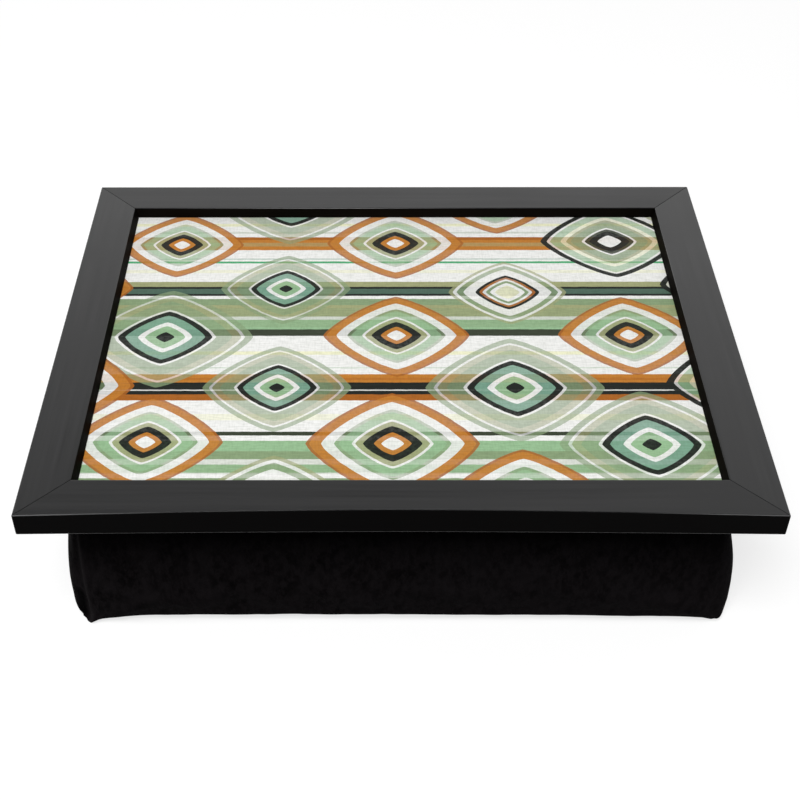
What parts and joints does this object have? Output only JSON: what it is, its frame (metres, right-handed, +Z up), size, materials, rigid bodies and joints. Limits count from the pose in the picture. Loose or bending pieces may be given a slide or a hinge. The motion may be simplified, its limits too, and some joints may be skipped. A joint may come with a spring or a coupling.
{
  "type": "cushioned lap tray",
  "caption": "Flat rectangular tray with a mitred black frame round a recessed patterned panel, held by hook-and-loop strips on a black bead-filled cushion.",
  "frame": {"origin": "centre of the tray in plan, on the surface that the cushion's flat base stands on", "axes": "+X to the right along the tray's long side, -Y to the front, +Z up out of the tray's top"},
  "size_m": [0.44, 0.34, 0.1122],
  "materials": {
    "black_lacquer": "satin black lacquer on a wood moulding",
    "printed_laminate": "printed laminate with a fine linen emboss, low sheen",
    "hardboard": "bare pressed fibreboard",
    "fastener_steel": "bare steel",
    "hook_tape": "woven tape with stiff hooks",
    "loop_tape": "woven tape with soft loops",
    "brushed_cloth": "brushed matt black cloth",
    "bead_fill": "loose expanded polystyrene beads, drawn as one mass"
  },
  "bodies": {
    "cushion": {"cushion_base": "brushed_cloth", "cushion_wall": "brushed_cloth", "cushion_top": "brushed_cloth", "bead_fill": "bead_fill", "loop_strip_front": "loop_tape", "loop_strip_back": "loop_tape", "loop_strip_left": "loop_tape", "loop_strip_right": "loop_tape"},
    "tray": {"front_rail": "black_lacquer", "right_rail": "black_lacquer", "back_rail": "black_lacquer", "left_rail": "black_lacquer", "panel_laminate": "printed_laminate", "panel_board": "hardboard", "mitre_nail_front_left_outer": "fastener_steel", "mitre_nail_front_left_inner": "fastener_steel", "mitre_nail_front_right_outer": "fastener_steel", "mitre_nail_front_right_inner": "fastener_steel", "mitre_nail_back_right_outer": "fastener_steel", "mitre_nail_back_right_inner": "fastener_steel", "mitre_nail_back_left_outer": "fastener_steel", "mitre_nail_back_left_inner": "fastener_steel", "framer_point_front_1": "fastener_steel", "framer_point_front_2": "fastener_steel", "framer_point_front_3": "fastener_steel", "framer_point_back_1": "fastener_steel", "framer_point_back_2": "fastener_steel", "framer_point_back_3": "fastener_steel", "framer_point_left_1": "fastener_steel", "framer_point_left_2": "fastener_steel", "framer_point_right_1": "fastener_steel", "framer_point_right_2": "fastener_steel", "hook_strip_front": "hook_tape", "hook_strip_back": "hook_tape", "hook_strip_left": "hook_tape", "hook_strip_right": "hook_tape"}
  },
  "joints": [
    {"name": "tray_lift", "type": "slide", "parent": "cushion", "child": "tray", "axis": [0, 0, 1], "range_m": [0, 0.12]}
  ]
}
